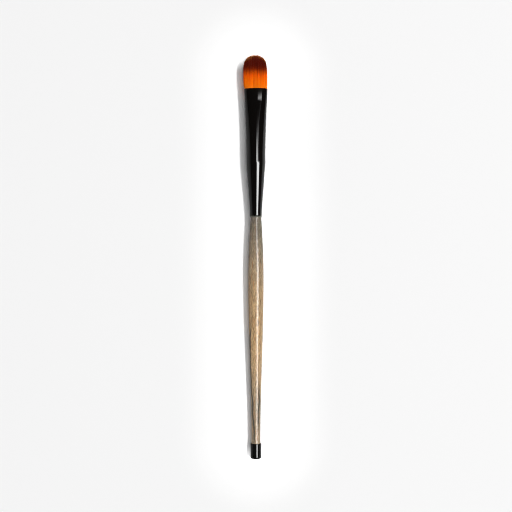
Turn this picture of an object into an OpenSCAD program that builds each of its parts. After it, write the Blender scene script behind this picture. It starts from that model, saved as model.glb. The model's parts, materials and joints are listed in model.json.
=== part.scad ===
// Eyeshadow brush: a flat round-ended filament tuft in a pressed metal ferrule,
// on a turned wooden handle that ends in a small metal cap.
// Each piece is drawn upright along +Z, from the closed end of the cap to the tip of the tuft.
// The whole brush is then laid on its side on z = 0, with its tuft towards +Y.

/* [End cap] */
// Length of the end cap, its closed end included
cap_len = 6.4; // [4:0.1:12]
// Outside diameter of the end cap
cap_d = 4.5; // [3.6:0.1:6]
// Thickness of the end cap's drawn wall
cap_wall = 0.3; // [0.25:0.05:0.5]
// Radius of the corner round the closed end
cap_round = 0.6; // [0.4:0.05:1]

/* [Handle] */
// Length of the wood that shows between the end cap and the ferrule
handle_len = 96; // [60:0.2:130]
// Diameter of the handle at its belly
belly_d = 6.46; // [5.2:0.02:9]
// Distance from the ferrule back to the belly
belly_at = 26.5; // [15:0.5:40]
// How far the end cap's outside stands proud of the wood
cap_step = 0.25; // [0.1:0.05:0.25]
// How far the ferrule's outside stands proud of the wood
ferrule_step = 0.24; // [0.1:0.02:0.28]
// Length of the tenon inside the ferrule
tenon_len = 16; // [8:0.5:20]
// Chamfer on the ends of the tenon and of the spigot
tenon_chamfer = 0.4; // [0.2:0.05:0.8]

/* [Ferrule] */
// Length of the ferrule
ferrule_len = 53.2; // [44:0.2:70]
// Thickness of the ferrule's drawn wall
ferrule_wall = 0.3; // [0.25:0.05:0.45]
// Outside diameter of the neck, where the handle enters
neck_d = 5; // [4.4:0.1:7]
// Length of the straight neck
neck_len = 2.4; // [1:0.2:5]
// Outside diameter of the barrel, where the tube is widest and still round
barrel_d = 7.96; // [6.8:0.02:9]
// Length of the cone between the neck and the barrel
cone_len = 19.8; // [14:0.2:26]
// Length of the round barrel before the pressed part
barrel_len = 3.6; // [1:0.2:6]
// Outside width of the pressed mouth
mouth_w = 9.72; // [8.6:0.02:11]
// Outside thickness of the pressed mouth
mouth_t = 5.3; // [4.4:0.05:6.4]
// Length of the flat land that the press leaves behind the mouth
land_len = 5.6; // [3:0.2:8]
// How much thicker the tube is at the crease than at the mouth
land_swell = 0.45; // [0.1:0.05:0.7]
// How far the crease behind the land bows back at the middle of the flat
crease_bow = 0.8; // [0.2:0.1:1.2]
// Rounding of the mouth's rim and of the neck's edge
rim_round = 0.1; // [0.05:0.01:0.13]

/* [Tuft] */
// Length of the filaments beyond the mouth
tuft_len = 14.4; // [10:0.1:18]
// Widest width of the tuft
tuft_w = 9.95; // [9:0.05:12]
// Greatest thickness of the tuft
tuft_t = 5.3; // [4.6:0.05:6.5]
// Thickness of the tuft where it starts to close towards the tip
waist_t = 4.5; // [3.6:0.05:5.2]
// Thickness of the tuft at its tip
tip_t = 1.9; // [1.4:0.05:3]
// Height above the mouth where the tuft is fullest
swell_h = 2.8; // [2:0.1:5]
// Height above the mouth where the tuft starts to close
waist_h = 8.9; // [7:0.1:9.9]
// Height of the rounded end of the tuft
dome_h = 7; // [4:0.1:8]
// How much shorter the outermost layers are than the middle ones
layer_drop = 1.3; // [0.5:0.1:1.8]
// How far the tips fall short of their line by chance
tip_scatter = 0.3; // [0.1:0.05:0.5]
// Number of strands that stand for the filaments, to within a few
strand_count = 380; // [320:10:460]
// Gap between neighbouring strands at the mouth
strand_gap = 0.06; // [0.05:0.01:0.1]
// Distance of the outermost strands' middles from the edge of the packed bundle
strand_margin = 0.15; // [0.13:0.01:0.2]

/* [Roots and binding] */
// Depth of the packed roots' face below the mouth
root_recess = 1; // [0.5:0.1:2]
// Length of the packed roots inside the ferrule, tied tail included
root_len = 14; // [11:0.5:17]
// Length of the tied tail
tail_len = 4.6; // [3.6:0.2:6]
// How much the binding draws the tail in, on the radius
tail_draw = 0.7; // [0.6:0.05:0.8]
// Thickness of the wound thread
thread_d = 0.3; // [0.2:0.05:0.35]
// Length of the wound band
band_len = 2.4; // [1.2:0.2:3]

/* [Glue] */
// Thickness of the glue film round the tenon and the spigot
glue_film = 0.1; // [0.05:0.01:0.13]
// Distance from the ferrule's foot to the start of the glue round the tenon
collar_back = 0.8; // [0.2:0.1:1]
// Depth of the glue that stands in front of the tenon
collar_pool = 1.2; // [0.6:0.1:3]
// Depth of the glue plug behind the tied tail
plug_depth = 4; // [2:0.2:5]
// Clearance between the pieces that nest in the ferrule
nest_gap = 0.06; // [0.04:0.01:0.1]

/* [Hidden] */
$fn = 96;

// Counts that set how fine the curves are
corner_steps = 6;
wood_steps = 24;
press_steps = 9;
nest_steps = 3;
oval_sides = 56;
tip_seed = 7;

// Shares and exponents that shape the curves
flare_power_share = 1.5;
wedge_power_share = 1.25;
square_share = 2.4;
dome_power_share = 2.1;
// Area of the mouth's oval as a share of its half width times its half thickness
oval_area_share = 3.34;
// Height of a short strand's last full section, from the fullest height up to its tip
late_ring_share = 0.5;
// Width of a strand at its tip
tip_width_share = 0.4;

// Heights of the main places above the closed end of the cap
wood_foot = cap_len;
ferrule_foot = wood_foot + handle_len;
belly_z = ferrule_foot - belly_at;
tenon_end = ferrule_foot + tenon_len;
cone_start = ferrule_foot + neck_len;
barrel_start = cone_start + cone_len;
press_start = barrel_start + barrel_len;
mouth = ferrule_foot + ferrule_len;
land_start = mouth - land_len;
brush_len = mouth + tuft_len;

// Radii of the round pieces
cap_r = cap_d / 2;
neck_r = neck_d / 2;
barrel_r = barrel_d / 2;
belly_r = belly_d / 2;
wood_foot_r = cap_r - cap_step;
wood_head_r = neck_r - ferrule_step;
cap_bore_r = cap_r - cap_wall;
cap_bore_round = cap_round - cap_wall / 2;
spigot_r = cap_bore_r - glue_film;
spigot_end = cap_wall + glue_film;
tenon_r = neck_r - ferrule_wall - nest_gap - glue_film;

// How deep each oval piece lies under the ferrule's outside
root_inset = ferrule_wall + nest_gap;
tail_inset = root_inset + tail_draw;
band_bore_inset = tail_inset - nest_gap;
band_inset = band_bore_inset - thread_d;
pocket_inset = band_inset - nest_gap;

// Heights of the roots, the tail, the band and the plug
root_face = mouth - root_recess;
root_end = mouth - root_len;
tail_head = root_end + tail_len;
shoulder_head = tail_head + tail_draw;
band_foot = root_end + (tail_len - band_len) / 2;
plug_foot = root_end - plug_depth;
pocket_foot = root_end - nest_gap;

// A slow start and a slow end between 0 and 1
function ease(s) = s * s * (3 - 2 * s);
function clamp(s) = min(max(s, 0), 1);
function mix(a, b, s) = a + (b - a) * s;

// A quarter of a round corner in an outline, between two angles
function corner(centre, r, from, to) = [
    for (i = [0 : corner_steps])
        let (a = mix(from, to, i / corner_steps))
            centre + r * [cos(a), sin(a)]
];

// Radius of the bare wood: it swells from the ferrule to the belly, then eases to the cap
function wood_r(z) =
    z > belly_z
        ? mix(wood_head_r, belly_r, sin(90 * (ferrule_foot - z) / belly_at))
        : mix(wood_foot_r, belly_r, ease((z - wood_foot) / (belly_z - wood_foot)));

// Outlines that the brush can rest on
cap_outline = corner([cap_r - cap_round, cap_round], cap_round, -90, 0);
wood_heights = concat([for (i = [0 : wood_steps]) mix(wood_foot, belly_z, i / wood_steps)],
                      [for (i = [1 : wood_steps]) mix(belly_z, ferrule_foot, i / wood_steps)]);
wood_outline = [for (z = wood_heights) [wood_r(z), z]];

// At rest the brush touches with the barrel's back edge and the lowest place behind it
rest_slope = min([for (p = concat(cap_outline, wood_outline))
                      (barrel_r - p[0]) / (barrel_start - p[1])]);
rest_tilt = atan(rest_slope);
rest_height = (barrel_r - rest_slope * barrel_start) * cos(rest_tilt);
cap_reach = (cap_r - cap_round) * abs(sin(rest_tilt));
rest_middle = (brush_len * cos(rest_tilt) - cap_reach) / 2;

// Lays the upright brush on z = 0 with its middle over the origin
module lay_at_rest() {
    translate([0, -rest_middle, rest_height])
        rotate([rest_tilt - 90, 0, 0])
            children();
}

// Radius of the ferrule's outside where it is round
function tube_r(z) = mix(neck_r, barrel_r, clamp((z - cone_start) / cone_len));
function glue_r(z) = tube_r(z) - ferrule_wall - nest_gap;

// How far the flare of the sides and the wedge of the flats have gone at a height
function flare(z) = pow(clamp((z - press_start) / (mouth - press_start)), flare_power_share);
function wedge(z) = pow(clamp((z - press_start) / (land_start - press_start)), wedge_power_share);
function half_w(z) = mix(tube_r(z), mouth_w / 2, flare(z));

// The land is slightly barrelled: how much of its swell is left at a height
function swell_left(z) = 1 - pow(clamp((z - land_start) / land_len), 2);
function half_t(z) = mix(tube_r(z), (mouth_t + land_swell * swell_left(z)) / 2, wedge(z));

// How much of the crease's bow a height takes: all of it at the crease, none at the two ends
function bow_at(z) = crease_bow * (z < land_start ? wedge(z) : (mouth - z) / land_len);

// One section of the pressed tube, drawn in by inset: a circle that turns to a squared oval.
// With a bow, the flats lag behind the narrow sides, as the crease does.
function oval(z, inset, bow = 0) = [
    for (i = [0 : oval_sides - 1])
        let (a = 360 * i / oval_sides,
             p = 2 / mix(2, square_share, wedge(z)),
             side = sign(cos(a)) * pow(abs(cos(a)), p),
             flat = sign(sin(a)) * pow(abs(sin(a)), p),
             rise = bow * (side * side - 1 / 2))
            [(half_w(z + rise) - inset) * side, (half_t(z) - inset) * flat, z + rise]
];
function ovals(from, to, inset) =
    [for (i = [0 : nest_steps]) oval(mix(from, to, i / nest_steps), inset)];

// The triangles between each ring and the next, in a stack of rings of equal count.
// Where the stack is closed, the last ring is joined to the first.
function skin(count, sides, closed = false) = [
    for (k = [0 : count - (closed ? 1 : 2)], i = [0 : sides - 1])
        let (a = k * sides + i,
             b = k * sides + (i + 1) % sides,
             c = (k + 1) % count * sides + i,
             d = (k + 1) % count * sides + (i + 1) % sides)
            each [[a, c, b], [b, c, d]]
];

// A solid through a stack of rings, flat at both ends
module loft(rings) {
    sides = len(rings[0]);
    last = len(rings) - 1;
    foot = [for (i = [1 : sides - 2]) [0, i, i + 1]];
    head = [for (i = [1 : sides - 2]) [last * sides, last * sides + i + 1, last * sides + i]];
    polyhedron(points = [for (r = rings) each r],
               faces = concat(foot, skin(len(rings), sides), head));
}

// A hollow solid through rings that run up its outside and down its bore
module tube(rings) {
    polyhedron(points = [for (r = rings) each r],
               faces = skin(len(rings), len(rings[0]), closed = true));
}

// Drawn metal cup that closes the back end of the handle
module end_cap() {
    inside = corner([cap_bore_r - cap_bore_round, cap_wall + cap_bore_round], cap_bore_round, 0, -90);
    color([0.06, 0.06, 0.065])
        rotate_extrude()
            polygon(concat([[0, 0]], cap_outline, [[cap_r, cap_len], [cap_bore_r, cap_len]],
                           inside, [[0, cap_wall]]));
}

// Film of glue between the spigot and the cup, full in the cup's rounded floor
module cap_glue() {
    floor_edge = corner([cap_bore_r - cap_bore_round, cap_wall + cap_bore_round],
                        cap_bore_round, -90, 0);
    color([0.8, 0.75, 0.6])
        rotate_extrude()
            polygon(concat([[0, cap_wall]], floor_edge,
                           [[cap_bore_r, cap_len - glue_film],
                            [spigot_r, cap_len - glue_film],
                            [spigot_r, spigot_end + tenon_chamfer],
                            [spigot_r - tenon_chamfer, spigot_end],
                            [0, spigot_end]]));
}

// Turned wood: spigot, swelling grip and tenon in one piece
module handle() {
    color([0.56, 0.47, 0.34])
        rotate_extrude()
            polygon(concat([[0, spigot_end],
                            [spigot_r - tenon_chamfer, spigot_end],
                            [spigot_r, spigot_end + tenon_chamfer],
                            [spigot_r, wood_foot]],
                           wood_outline,
                           [[tenon_r, ferrule_foot],
                            [tenon_r, tenon_end - tenon_chamfer],
                            [tenon_r - tenon_chamfer, tenon_end],
                            [0, tenon_end]]));
}

// Glue that fills the space between the tenon and the ferrule's neck and cone
module tenon_glue() {
    glue_foot = ferrule_foot + collar_back;
    pool_head = tenon_end + collar_pool;
    color([0.8, 0.75, 0.6])
        rotate_extrude()
            polygon([[tenon_r, glue_foot],
                     [glue_r(glue_foot), glue_foot],
                     [glue_r(cone_start), cone_start],
                     [glue_r(pool_head), pool_head],
                     [0, pool_head],
                     [0, tenon_end],
                     [tenon_r - tenon_chamfer, tenon_end],
                     [tenon_r, tenon_end - tenon_chamfer]]);
}

// One seamless tube: round neck, cone and barrel, then wedged to two flat lands at the mouth
module ferrule() {
    pressed = concat([for (i = [0 : press_steps]) mix(press_start, land_start, i / press_steps)],
                     [land_start + land_len / 2]);
    heights = concat([cone_start, barrel_start], pressed);
    outside = concat([oval(ferrule_foot, rim_round), oval(ferrule_foot + rim_round, 0)],
                     [for (z = heights) oval(z, 0, bow_at(z))],
                     [oval(mouth - rim_round, 0), oval(mouth, rim_round)]);
    bore = concat([oval(ferrule_foot, ferrule_wall)],
                  [for (z = heights) oval(z, ferrule_wall, bow_at(z))],
                  [oval(mouth, ferrule_wall)]);
    last = len(bore) - 1;
    color([0.05, 0.05, 0.055])
        tube(concat(outside, [for (k = [0 : last]) bore[last - k]]));
}

// Glue poured in from behind, set round the tied tail
module glue_plug() {
    color([0.8, 0.75, 0.6])
        difference() {
            loft(ovals(plug_foot, tail_head, root_inset));
            loft(ovals(pocket_foot, tail_head + nest_gap, pocket_inset));
        }
}

// Thread wound tight round the tail, as one band
module root_binding() {
    band_head = band_foot + band_len;
    color([0.9, 0.88, 0.82])
        tube(concat(ovals(band_foot, band_head, band_inset),
                    ovals(band_head, band_foot, band_bore_inset)));
}

// The filaments' roots, packed solid, with the drawn-in tail behind
module packed_roots() {
    loft(concat([oval(root_end, tail_inset), oval(tail_head, tail_inset)],
                ovals(shoulder_head, root_face, root_inset)));
}

// Half sizes of the oval at the mouth that holds the middles of all strands
field_w = mouth_w / 2 - root_inset - strand_margin;
field_t = mouth_t / 2 - root_inset - strand_margin;
function in_field(x, y) =
    pow(abs(x) / field_w, square_share) + pow(abs(y) / field_t, square_share) <= 1;

// Spacing of the strands from the area that they share, and the width of one strand
strand_pitch = sqrt(oval_area_share * field_w * field_t / strand_count / sin(60));
row_pitch = strand_pitch * sin(60);
strand_w = strand_pitch - strand_gap;
strand_seat = strand_w;

// Middles of the strands at the mouth: the rows of a triangular pattern
rows = floor(field_t / row_pitch);
columns = ceil(field_w / strand_pitch);
strand_roots = [
    for (j = [-rows : rows], i = [-columns : columns])
        let (x = (i + (j % 2 == 0 ? 0 : 1 / 2)) * strand_pitch, y = j * row_pitch)
            if (in_field(x, y)) [x, y]
];
reach_w = max([for (p = strand_roots) p[0]]);
reach_t = max([for (p = strand_roots) p[1]]);
tip_shares = rands(0, 1, len(strand_roots), tip_seed);

// How wide and how thick the bundle is at a height above the mouth, against the mouth.
// Both run straight between the same heights on all strands, so no two strands cross.
full_w_share = (tuft_w - strand_w) / 2 / reach_w;
full_t_share = (tuft_t - strand_w) / 2 / reach_t;
waist_t_share = (waist_t - strand_w) / 2 / reach_t;
tip_t_share = (tip_t - strand_w) / 2 / reach_t;
function spread_w(h) = mix(1, full_w_share, min(h / swell_h, 1));
function spread_t(h) =
    h < swell_h ? mix(1, full_t_share, h / swell_h)
    : h < waist_h ? mix(full_t_share, waist_t_share, (h - swell_h) / (waist_h - swell_h))
    : mix(waist_t_share, tip_t_share, (h - waist_h) / (tuft_len - waist_h));

// Length of a strand beyond the mouth: the dome across the width, the layers through the depth
function strand_len(p, k) =
    let (across = abs(p[0]) / reach_w, through = abs(p[1]) / reach_t)
        tuft_len - dome_h * (1 - pow(1 - pow(across, dome_power_share), 1 / dome_power_share))
            - layer_drop * through * through - tip_scatter * tip_shares[k];

// One strand of three sides, from inside the packed roots to its narrow tip
module strand(p, k) {
    tip = strand_len(p, k);
    late = tip > waist_h ? waist_h : mix(swell_h, tip, late_ring_share);
    levels = tip > swell_h ? [-root_recess - strand_seat, swell_h, late, tip]
                           : [-root_recess - strand_seat, tip / 3, tip * 2 / 3, tip];
    width_shares = [1, 1, 1, tip_width_share];
    rings = [
        for (n = [0 : len(levels) - 1])
            let (h = levels[n], r = strand_w * width_shares[n] / 2 / sin(60))
                [for (a = [90, 210, 330])
                    [p[0] * spread_w(h) + r * cos(a), p[1] * spread_t(h) + r * sin(a), mouth + h]]
    ];
    loft(rings);
}

// The whole bundle of filaments, one piece with its roots
module filament_tuft() {
    color([0.92, 0.4, 0.05]) {
        packed_roots();
        for (k = [0 : len(strand_roots) - 1]) strand(strand_roots[k], k);
    }
}

lay_at_rest() end_cap();
lay_at_rest() cap_glue();
lay_at_rest() handle();
lay_at_rest() tenon_glue();
lay_at_rest() ferrule();
lay_at_rest() glue_plug();
lay_at_rest() root_binding();
lay_at_rest() filament_tuft();
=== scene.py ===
"""The dressed scene of an eyeshadow brush that lies on a pale floor.

The brush has an oval tuft of dyed filaments, a black ferrule that is pressed from round to oval,
a turned and lacquered wooden handle and a small black end cap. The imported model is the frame.
The finer meshes are worked out here in millimetres, on the upright brush: z runs from the closed
end of the cap to the tip of the tuft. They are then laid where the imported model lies.
"""

import json
import logging
import math
from collections.abc import Callable
from dataclasses import dataclass
from enum import Enum

import bpy
import numpy as np
from mathutils import Matrix, Vector

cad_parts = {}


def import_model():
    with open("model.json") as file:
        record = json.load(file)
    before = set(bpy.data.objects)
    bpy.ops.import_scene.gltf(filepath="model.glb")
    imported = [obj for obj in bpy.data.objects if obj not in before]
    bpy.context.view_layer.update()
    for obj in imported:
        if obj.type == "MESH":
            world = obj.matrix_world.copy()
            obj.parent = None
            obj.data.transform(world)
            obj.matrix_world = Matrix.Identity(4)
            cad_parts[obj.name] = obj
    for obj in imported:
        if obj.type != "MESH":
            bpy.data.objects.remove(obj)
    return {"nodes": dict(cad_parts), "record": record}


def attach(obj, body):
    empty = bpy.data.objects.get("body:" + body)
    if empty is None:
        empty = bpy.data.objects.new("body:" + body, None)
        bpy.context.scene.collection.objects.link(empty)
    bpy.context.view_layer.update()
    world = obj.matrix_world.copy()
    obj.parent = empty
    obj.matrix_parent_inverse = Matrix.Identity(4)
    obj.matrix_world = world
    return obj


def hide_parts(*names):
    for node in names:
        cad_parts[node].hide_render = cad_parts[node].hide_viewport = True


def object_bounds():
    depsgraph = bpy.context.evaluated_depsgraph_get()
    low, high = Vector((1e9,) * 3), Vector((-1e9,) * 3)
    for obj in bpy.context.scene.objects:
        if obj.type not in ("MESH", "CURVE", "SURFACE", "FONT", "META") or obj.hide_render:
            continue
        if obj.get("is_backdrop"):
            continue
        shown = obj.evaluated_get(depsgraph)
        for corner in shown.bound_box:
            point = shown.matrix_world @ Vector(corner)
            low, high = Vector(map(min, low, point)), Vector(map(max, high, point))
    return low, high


MM = 0.001
BODY = "root"
# The places of a mix node's sockets, which have the same names for numbers and for colours.
MIX_FACTOR, NUMBER_A, NUMBER_B = 0, 2, 3
COLOUR_A, COLOUR_B, MIXED_COLOUR = 6, 7, 2
# Nearly all values of a noise lie in this range.
NOISE_RANGE = (0.3, 0.7)

Numbers = float | np.ndarray
Outline = list[tuple[float, float]]
Span = tuple[float, float]
# What can feed a node's input. A node feeds it from its first output.
Feed = bpy.types.Node | bpy.types.NodeSocket

log = logging.getLogger("eyeshadow_brush")


class Slot(Enum):
    """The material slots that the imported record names."""

    FILAMENTS = "filaments"
    THREAD = "thread"
    GLUE = "glue"
    FERRULE = "ferrule_lacquer"
    CAP = "cap_lacquer"
    WOOD = "lacquered_wood"


def linear(colour: str) -> tuple[float, float, float, float]:
    """Turns an sRGB hex colour into the linear colour that a socket takes.

    Args:
        colour: The colour as #rrggbb.

    Returns:
        Linear red, green and blue, and an alpha of 1.
    """
    shares = [int(colour[i : i + 2], 16) / 255 for i in (1, 3, 5)]
    low = [c / 12.92 for c in shares]
    high = [((c + 0.055) / 1.055) ** 2.4 for c in shares]
    red, green, blue = (a if c <= 0.04045 else b for c, a, b in zip(shares, low, high, strict=True))
    return red, green, blue, 1.0


def mix(a: Numbers, b: Numbers, share: Numbers) -> Numbers:
    """Runs straight from a to b as share goes from 0 to 1, for numbers or arrays."""
    return a + (b - a) * share


def ease(share: Numbers) -> Numbers:
    """Gives a share between 0 and 1 a slow start and a slow end, for numbers or arrays."""
    return share * share * (3 - 2 * share)


def softened(curve: Callable[[np.ndarray], np.ndarray], at: np.ndarray, reach: float) -> np.ndarray:
    """Rounds the kinks of a curve by its mean over a short stretch.

    Args:
        curve: The function of height that has the kinks.
        at: The heights where it is wanted.
        reach: How far the mean reaches to each side, in mm.

    Returns:
        The rounded curve at those heights.
    """
    shifts = np.linspace(-reach, reach, 9)
    return np.mean([curve(at + shift) for shift in shifts], axis=0)


def arc(centre: tuple[float, float], radius: float, start: float, end: float, steps: int) -> Outline:
    """Points of a round corner in an outline, as radius and height.

    Args:
        centre: The arc's middle, as radius and height.
        radius: The arc's own radius.
        start: The angle of its first point, in degrees.
        end: The angle of its last point, in degrees.
        steps: How many chords it has.

    Returns:
        The points from start to end.
    """
    angles = np.radians(np.linspace(start, end, steps + 1))
    return [(centre[0] + radius * math.cos(a), centre[1] + radius * math.sin(a)) for a in angles]


def turned(outline: Outline, sides: int) -> np.ndarray:
    """Turns an outline round the brush's axis.

    Args:
        outline: Points as radius and height.
        sides: How many points each ring has.

    Returns:
        Rings as an array of ring, point and place.
    """
    radius, height = np.array(outline, float).T
    angles = 2 * math.pi * np.arange(sides) / sides
    return np.stack(
        [
            radius[:, None] * np.cos(angles),
            radius[:, None] * np.sin(angles),
            np.repeat(height[:, None], sides, axis=1),
        ],
        axis=-1,
    )


def skinned(name: str, rings: np.ndarray, closed: bool = False, sharp: float = 40.0) -> bpy.types.Object:
    """Makes a smooth mesh through a stack of rings.

    Args:
        name: The new object's name.
        rings: An array of ring, point and place, in mm.
        closed: Whether the last ring joins the first. Otherwise both ends get a flat face.
        sharp: The angle in degrees above which an edge stays sharp.

    Returns:
        The new object.
    """
    count, sides = rings.shape[:2]
    here = np.arange(count if closed else count - 1)[:, None] * sides + np.arange(sides)
    after = here - np.arange(sides) + (np.arange(sides) + 1) % sides
    above = (here + sides) % (count * sides)
    above_after = (after + sides) % (count * sides)
    faces = np.stack([here, after, above_after, above], axis=-1).reshape(-1, 4).tolist()
    if not closed:
        faces.append(list(range(sides))[::-1])
        faces.append(list(range((count - 1) * sides, count * sides)))
    mesh = bpy.data.meshes.new(name)
    mesh.from_pydata((rings.reshape(-1, 3) * MM).tolist(), [], faces)
    mesh.shade_smooth()
    mesh.set_sharp_from_angle(angle=math.radians(sharp))
    piece = bpy.data.objects.new(name, mesh)
    bpy.context.scene.collection.objects.link(piece)
    return piece


def add_node(tree: bpy.types.NodeTree, kind: str, inputs: dict | None = None, **settings) -> bpy.types.Node:
    """Adds a node, sets it up and joins it to what feeds it.

    Args:
        tree: The tree that takes the node.
        kind: Blender's name for the kind of node.
        inputs: For an input's name or place, its plain value, or the socket or node that feeds it.
        **settings: The node's own properties. A colour ramp takes stops, as places and hex colours.
            A map range takes spans, as the range that comes in and the range that goes out.

    Returns:
        The new node.
    """
    node = tree.nodes.new(kind)
    stops = settings.pop("stops", ())
    spans = settings.pop("spans", ())
    for name, value in settings.items():
        setattr(node, name, value)
    for i, (place, colour) in enumerate(stops):
        elements = node.color_ramp.elements
        stop = elements[i] if i < 2 else elements.new(place)
        stop.position, stop.color = place, linear(colour)
    for i, end in enumerate((end for span in spans for end in span), start=1):
        node.inputs[i].default_value = end
    for key, value in (inputs or {}).items():
        feed = value.outputs[0] if isinstance(value, bpy.types.Node) else value
        if isinstance(feed, bpy.types.NodeSocket):
            tree.links.new(feed, node.inputs[key])
        else:
            node.inputs[key].default_value = feed
    return node


def new_material(name: str, surface: dict) -> tuple[bpy.types.Material, bpy.types.Node]:
    """Makes a material of one principled surface.

    Args:
        name: The material's name.
        surface: The surface's plain values, by the names of its inputs.

    Returns:
        The material and its surface node.
    """
    material = bpy.data.materials.new(name)
    material.use_nodes = True
    tree = material.node_tree
    tree.nodes.clear()
    shader = add_node(tree, "ShaderNodeBsdfPrincipled", surface)
    add_node(tree, "ShaderNodeOutputMaterial", {"Surface": shader})
    return material, shader


def stretched_noise(
    tree: bpy.types.NodeTree,
    size_mm: Span,
    spans: tuple[Span, ...] = (),
    detail: float = 2.0,
    wander: float = 0.0,
) -> bpy.types.Node:
    """Lays a soft random pattern in the piece, drawn out along the brush.

    Args:
        tree: The material's tree.
        size_mm: The real width of one patch of the pattern, and its real length along the brush.
        spans: The range of the pattern that counts, and the range that it becomes. Without them
            the pattern is a number about one half.
        detail: How many finer layers it has.
        wander: How much the patches bend out of line.

    Returns:
        The pattern's last node.
    """
    place = add_node(tree, "ShaderNodeTexCoord").outputs["Object"]
    across, along = (1 / (size * MM) for size in size_mm)
    scaled = add_node(tree, "ShaderNodeMapping", {"Vector": place, "Scale": (across, along, across)})
    noise = add_node(
        tree,
        "ShaderNodeTexNoise",
        {"Vector": scaled, "Scale": 1.0, "Detail": detail, "Distortion": wander},
    )
    return add_node(tree, "ShaderNodeMapRange", {0: noise}, spans=spans) if spans else noise


@dataclass(frozen=True)
class BlackLacquer:
    """Black stoving lacquer, sprayed on drawn metal and baked.

    It flows out to a deep gloss with a faint orange peel, so lamps show as clean bright bands
    with edges that tremble a little.
    """

    name: str
    colour: str = "#0a0807"
    ior: float = 1.42
    roughness: tuple[float, float] = (0.05, 0.09)
    peel_mm: float = 0.9
    peel_depth_mm: float = 0.0012
    cloud_mm: float = 6.0

    def make(self) -> bpy.types.Material:
        """Makes the lacquer's material."""
        material, shader = new_material(self.name, {"Base Color": linear(self.colour), "IOR": self.ior})
        tree = material.node_tree
        cloud = stretched_noise(tree, (self.cloud_mm, self.cloud_mm), (NOISE_RANGE, self.roughness))
        peel = stretched_noise(tree, (self.peel_mm, self.peel_mm), detail=1.0)
        bump = add_node(
            tree,
            "ShaderNodeBump",
            {"Height": peel, "Distance": self.peel_depth_mm * MM, "Strength": 1.0},
        )
        tree.links.new(cloud.outputs[0], shader.inputs["Roughness"])
        tree.links.new(bump.outputs[0], shader.inputs["Normal"])
        return material


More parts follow.
